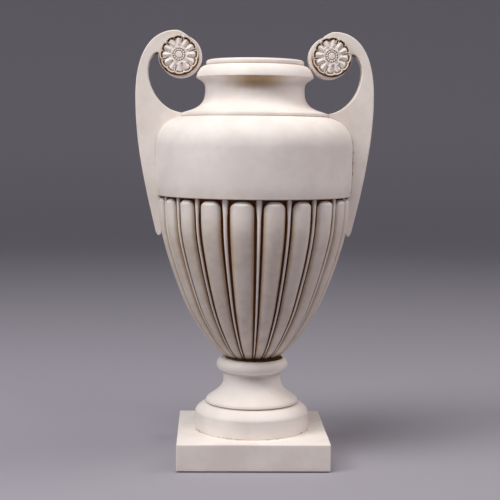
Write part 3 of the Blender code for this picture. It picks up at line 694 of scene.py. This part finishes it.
def make_handle(side, sign):
    """Slab handle: an edge section carried along the outline, well rounded where it is free and nearly sharp, with
    a few chips on the right, where it meets the other castings. Its inset never passes four fifths of the way to
    the outline's middle line; the two faces close it."""
    outline = resampled(rounded(handle_outline(), 0.7, 3), 1.8)
    normals, room = inward(outline)
    x, z = outline[:, 0], outline[:, 1]
    reach = np.where(z < BELLY_LINE, bowl_crest(z) + 1.0, np.interp(z, SHELL_HEIGHTS, SHELL_REACH))
    touching = (x < reach) & (z < SHELL_HEIGHTS[-1])
    chipped = smoothstep(z, 396, 404) * smoothstep(-z, -452, -444) * (sign > 0)
    chips = chipped * np.clip(ripple(np.column_stack([x, z, 0 * z]), 7.0, 61), 0.0, 1.0)
    edge = np.where(touching, SEAM_EDGE + 3.0 * chips, FREE_EDGE)
    bend = np.radians(np.linspace(0, 90, 6))
    inset = [edge * (1 - math.cos(a)) for a in bend] + [edge + 0.7, edge + 2.0]
    face = [SLAB / 2 - edge * (1 - math.sin(a)) for a in bend] + [SLAB / 2 + 0 * edge] * 2
    middle = np.linspace(-9, 9, 9)[:, None] + 0 * edge
    inset = np.minimum(np.array(inset[::-1] + [0 * edge] * 9 + inset), 0.8 * room)
    across = np.concatenate([-np.array(face[::-1]), middle, np.array(face)])
    flat = outline[None, :, :] + inset[..., None] * normals[None, :, :]
    points = np.stack([flat[..., 0], across, flat[..., 1]], axis=-1)
    points[..., 0] += 0.14 * ripple(points, 80.0, 31 + sign)
    points[..., 2] += 0.10 * ripple(points, 60.0, 41 + sign)
    patchy = 1.0 + 0.5 * ripple(points, 22.0, 51 + sign)
    held = np.where(touching, (0.40 if sign > 0 else 0.18) + 0.3 * chips, 0.0)
    seam = held * patchy * np.exp(-inset / (0.9 + chips))
    # Painted shadow, with some wash, in the nook where the loop's top meets the scroll.
    nook_wash_and_shadow = 0.9 * np.exp(-(np.hypot(x - 134.5, z - 566.2) / 7.0) ** 2) * np.exp(-inset / 1.5)
    # Every point of the handle keeps at least a faint painted shade.
    wash_and_shade = np.maximum.reduce([seam, nook_wash_and_shadow, FACE_SHADE + 0 * seam])
    points[..., 0] *= sign
    faces = grid_faces(len(inset), len(outline))
    caps = [np.arange(len(outline))[::-1], np.arange(len(outline)) + (len(inset) - 1) * len(outline)]
    if sign < 0:
        faces, caps = faces[:, ::-1], [cap[::-1] for cap in caps]
    return make_piece(f"handle_{side}_casting", f"handle_{side}", points, faces, STONE, caps=caps,
                      wash_and_shade=wash_and_shade, crease=50.0)


# ---------------------------------------------------------------- rosettes

ROSETTE_R = 27.2
BEADS = 14


def petal_edge(angle):
    """Share of the radius at which the petals end: a scallop to each lobe, and a notch between petals."""
    turn = angle / (2 * math.pi)
    lobe = np.abs((turn * 12) % 1.0 - 0.5) * 2.0
    to_notch = np.abs((turn * 6 + 0.5) % 1.0 - 0.5) * 60.0
    return 0.975 - 0.042 * lobe ** 2.4 - 0.075 * np.exp(-(to_notch / 2.2) ** 2)


def rosette_relief(share, angle):
    """Height in mm, and how much umber wash lies in the recesses, of a rosette at a share of its radius and an
    angle from one of its six sepal tips.

    Six petals of two lobes each: a lobe is a convex finger that ends in a deep hollow under the petal's thin
    rolled rim. The petals part at deep notches with a sepal tip in each. Inside are six small cusped petals, a
    moat, a ring of beads and a flat button."""
    turn = angle / (2 * math.pi)
    to_notch = np.abs((turn * 6 + 0.5) % 1.0 - 0.5) * 60.0 * share  # degrees of arc at the rim from a notch
    lobe = np.abs((turn * 12) % 1.0 - 0.5) * 2.0  # 0 in a lobe's middle, 1 between lobes
    six = np.cos(6 * angle)
    edge = petal_edge(angle)
    finger_end = 0.865 - 0.12 * lobe ** 2
    finger = 2.0 + 3.2 * (0.5 + 0.5 * np.cos(math.pi * lobe)) ** 0.8 - 0.7 * smoothstep(share, 0.5, 0.85)
    tip = 1.0 - smoothstep(share, finger_end - 0.065, finger_end + 0.010)
    floor = 0.5 + 0.7 * lobe ** 2
    petals = floor + (finger - floor) * tip
    rim = smoothstep(share, edge - 0.070, edge - 0.030)
    petals = petals + (5.2 - petals) * rim
    bridge = np.exp(-((1 - lobe) / 0.13) ** 2) * smoothstep(share, 0.76, 0.88) * (1 - rim)
    petals = petals + (3.2 - petals) * bridge * (to_notch > 3.0)
    split = np.exp(-(to_notch / 1.6) ** 2) * smoothstep(share, 0.60, 0.72)
    petals = petals * (1 - 0.85 * split)
    lips = np.exp(-((to_notch - 3.2) / 1.2) ** 2) * smoothstep(share, 0.66, 0.80) * (1 - rim)
    petals = petals + (4.4 - petals) * lips
    sepal = np.exp(-(to_notch / (2.3 - 1.1 * smoothstep(share, 0.90, 0.97))) ** 4)
    sepal = sepal * smoothstep(share, 0.84, 0.885) * smoothstep(-share, -0.985, -0.965)
    petals = np.maximum(petals, 4.2 * sepal)
    outside = smoothstep(share, edge - 0.010, edge + 0.012) * (1 - sepal)
    petals = petals * (1 - outside)
    cusp = 0.470 + 0.060 * six + 0.02 * np.abs(six)
    inner = 4.5 - 0.9 * np.clip((share - 0.33) / 0.2, 0, 1) + 0.5 * smoothstep(share, cusp - 0.085, cusp - 0.03)
    inner = inner - 0.5 * np.exp(-((six - 1) / 0.10) ** 2) * smoothstep(share, 0.36, 0.40)
    step = smoothstep(share, cusp - 0.020, cusp + 0.025)
    height = inner * (1 - step) + petals * step
    moat = 2.3 + 2.2 * smoothstep(share, 0.308, 0.340)
    bead_turn = (turn * BEADS) % 1.0 - 0.5
    bead_reach = np.hypot((share - 0.252) / 0.050, bead_turn * 2.0)
    beads = 2.6 + 2.4 * np.sqrt(np.clip(1 - bead_reach ** 2, 0, 1))
    button = 2.9 + 2.0 * (1 - smoothstep(share, 0.150, 0.178)) - 0.3 * (share / 0.15) ** 2 * (share < 0.15)
    centre = np.where(share < 0.195, button, np.where(share < 0.304, beads, moat))
    height = np.where(share < 0.342, centre, height)
    hollow = smoothstep(share, finger_end - 0.025, finger_end + 0.01)
    hollow = hollow * (1 - smoothstep(share, edge - 0.065, edge - 0.040))
    gaps = smoothstep(lobe, 0.55, 1.0) * smoothstep(share, 0.50, 0.62) * (1 - smoothstep(share, 0.78, 0.88))
    dark = [0.86 * hollow * (1 - bridge) * (1 - lips), 0.80 * split * (1 - sepal), 0.30 * gaps, 0.80 * outside,
            0.50 * np.exp(-((share - 0.312) / 0.014) ** 2), 0.34 * np.exp(-((share - 0.190) / 0.012) ** 2),
            0.26 * np.exp(-((share - cusp - 0.03) / 0.028) ** 2),
            0.60 * np.where((share > 0.200) & (share < 0.31), smoothstep(bead_reach, 0.85, 1.2), 0.0)]
    return height, np.maximum.reduce([part + 0.0 * height for part in dark])


def make_rosette(side, sign, facing, phase):
    """Rosette: the relief over a grid of rings and spokes, whose outer rings follow the petals' edge, with a thin
    skirt of wash and painted cast shadow, wider and darker on the lower side, that fades out on the slab, closed
    behind by a flat cap that beds into it."""
    spokes = 336
    even = np.concatenate([[0.02, 0.06, 0.11], np.linspace(0.14, 0.36, 24), np.linspace(0.37, 0.80, 36)[1:],
                           np.linspace(0.81, 0.993, 33), [1.0]])[:, None]
    angles = np.linspace(0, 2 * math.pi, spokes, endpoint=False)
    follow = smoothstep(even, 0.60, 0.90) * (even < 0.999)
    share = even * (1 + follow * (petal_edge(angles) / 0.975 - 1))
    height, wash_and_shade = rosette_relief(share, angles[None, :])
    # Painted shadow: the wash outside the petals and in the skirt is darkened on the lower side as the rosette's
    # cast shadow, and the hollows under the upper rim are darkened as the rim's shadow.
    below = np.sin(angles + phase)
    shadowed_low_side = 0.20 + 0.80 * smoothstep(-below, -0.25, 0.45)
    wash_and_shade *= np.where(height < 0.3, shadowed_low_side, np.where(share > 0.60, 0.70 + 0.30 * below, 1.0))
    skirt, wider = np.array([(1.010, 0.0), (1.022, 0.028), (1.035, 0.045), (1.035, 0.045)]).T[..., None]
    share = np.concatenate([share, skirt + wider * shadowed_low_side ** 2])
    height = np.concatenate([height, np.zeros((3, spokes)), np.full((1, spokes), -0.35)]) + 0.04
    fading = np.array([0.90, 0.60, FACE_SHADE, FACE_SHADE])[:, None]
    wash_and_shade = np.concatenate([wash_and_shade, fading * np.maximum(shadowed_low_side, 0.14)])
    radius = share * ROSETTE_R
    points = np.stack([sign * ROSETTE_AT[0] + radius * np.cos(angles + phase), facing * (SLAB / 2 + height),
                       ROSETTE_AT[1] + radius * np.sin(angles + phase)], axis=-1)
    faces = grid_faces(len(points), spokes)
    caps = [np.arange(spokes)[::-1], np.arange(spokes) + (len(points) - 1) * spokes]
    if facing > 0:
        faces, caps = faces[:, ::-1], [cap[::-1] for cap in caps]
    where = "front" if facing < 0 else "back"
    return make_piece(f"rosette_{side}_{where}_casting", f"rosette_{side}_{where}", points, faces,
                      STONE, caps=caps, wash_and_shade=wash_and_shade, crease=70.0)


# ---------------------------------------------------------------- assembly

make_plinth()
make_pads()
make_foot()
make_bed()
make_bowl()
make_shell()
make_neck()
for side, sign, phase in (("left", -1, 17.0), ("right", 1, 9.0)):
    make_handle(side, sign)
    make_rosette(side, sign, -1, math.radians(phase))
    make_rosette(side, sign, 1, math.radians(phase))

fittings = {"tie_rod": STEEL, "nut_lower": STEEL, "nut_upper": STEEL, "washer_lower": STEEL, "washer_upper": STEEL,
            "rubber_seal": RUBBER}
fittings.update({f"handle_{side}_pin_{level}": STEEL for side in ("left", "right") for level in ("lower", "upper")})
for node, material in fittings.items():
    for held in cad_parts[node].material_slots:
        held.material = material


# ---------------------------------------------------------------- camera, floor and light

CAMERA_DISTANCE = 1.7156
CAMERA_HEIGHT = 0.4476


def make_camera():
    """Camera with a long lens, in front of the axis at the height of the shoulder, looking 5 degrees down. Its
    aim is turned by its pitch, roll and yaw, and the whole by a turn round the axis."""
    turn, pitch, roll, yaw = (math.radians(a) for a in (2.03, 5.149, 0.595, -0.148))
    forward = Vector((math.sin(yaw) * math.cos(pitch), math.cos(yaw) * math.cos(pitch), -math.sin(pitch)))
    right = Vector((math.cos(yaw), -math.sin(yaw), 0.0))
    up = right.cross(forward)
    right, up = math.cos(roll) * right + math.sin(roll) * up, -math.sin(roll) * right + math.cos(roll) * up
    about = Matrix.Rotation(-turn, 3, "Z")
    data = bpy.data.cameras.new("camera")
    data.sensor_width = 36.0
    data.lens = 87.6
    camera = bpy.data.objects.new("camera", data)
    bpy.context.scene.collection.objects.link(camera)
    axes = Matrix([about @ right, about @ up, about @ -forward]).transposed().to_4x4()
    place = about @ Vector((0.0, -CAMERA_DISTANCE, CAMERA_HEIGHT))
    camera.matrix_world = Matrix.Translation(place) @ axes
    bpy.context.scene.camera = camera


def make_floor():
    """Plain pale floor that sweeps up into a round wall well beyond the camera, so that no edge shows: a profile
    of (radius, height) in metres carried round the axis."""
    sweep = bezier((3.2, 0.0), (4.6, 0.0), (5.0, 0.4), (5.0, 1.8), 24)
    profile = np.vstack([[(0.001, 0.0), (1.0, 0.0), (2.0, 0.0)], sweep, [(5.0, 3.2)]])
    angles = np.linspace(0, 2 * math.pi, 96, endpoint=False)
    points = np.stack([profile[:, :1] * np.cos(angles), profile[:, :1] * np.sin(angles),
                       np.broadcast_to(profile[:, 1:], (len(profile), 96))], axis=-1)
    mesh = bpy.data.meshes.new("floor")
    mesh.from_pydata(points.reshape(-1, 3).tolist(), [], grid_faces(len(profile), 96)[:, ::-1].tolist())
    mesh.shade_smooth()
    floor = bpy.data.objects.new("floor", mesh)
    bpy.context.scene.collection.objects.link(floor)
    material, _, shader, _ = new_material("pale_floor")
    shader.inputs["Base Color"].default_value = linear("#9F9CA7")
    shader.inputs["Roughness"].default_value = 0.9
    mesh.materials.append(material)


# Soft round lights: azimuth from the front towards the right and elevation, in degrees; watts; colour
LIGHTS = [("high_front", -30, 65, 41.0, "#FFFFF9"), ("low_left", -60, 42, 45.0, "#FFFBF9"),
          ("right", 90, 42, 26.0, "#FFF6F0"), ("front_right", 40, 50, 18.0, "#FFF3EE")]
LIGHT_DISTANCE = 3.0
LIGHT_SIZE = 1.5
LIT_POINT = Vector((0.0, 0.0, 0.3))


def make_light(name, azimuth, elevation, watts, colour):
    """Soft disc light that looks at the middle of the urn."""
    a, e = math.radians(azimuth), math.radians(elevation)
    away = Vector((math.sin(a) * math.cos(e), -math.cos(a) * math.cos(e), math.sin(e)))
    data = bpy.data.lights.new(name, "AREA")
    data.shape = "DISK"
    data.size = LIGHT_SIZE
    data.energy = watts
    data.color = linear(colour)[:3]
    light = bpy.data.objects.new(name, data)
    light.location = LIT_POINT + LIGHT_DISTANCE * away
    light.rotation_euler = (-away).to_track_quat("-Z", "Y").to_euler()
    bpy.context.scene.collection.objects.link(light)


make_camera()
make_floor()
for name, azimuth, elevation, watts, colour in LIGHTS:
    make_light(name, azimuth, elevation, watts, colour)
world = bpy.data.worlds.new("studio")
bpy.context.scene.world = world
world.use_nodes = True
world.node_tree.nodes["Background"].inputs["Color"].default_value = linear("#C9C8DC")
world.node_tree.nodes["Background"].inputs["Strength"].default_value = 0.13
bpy.context.scene.view_settings.view_transform = "Standard"
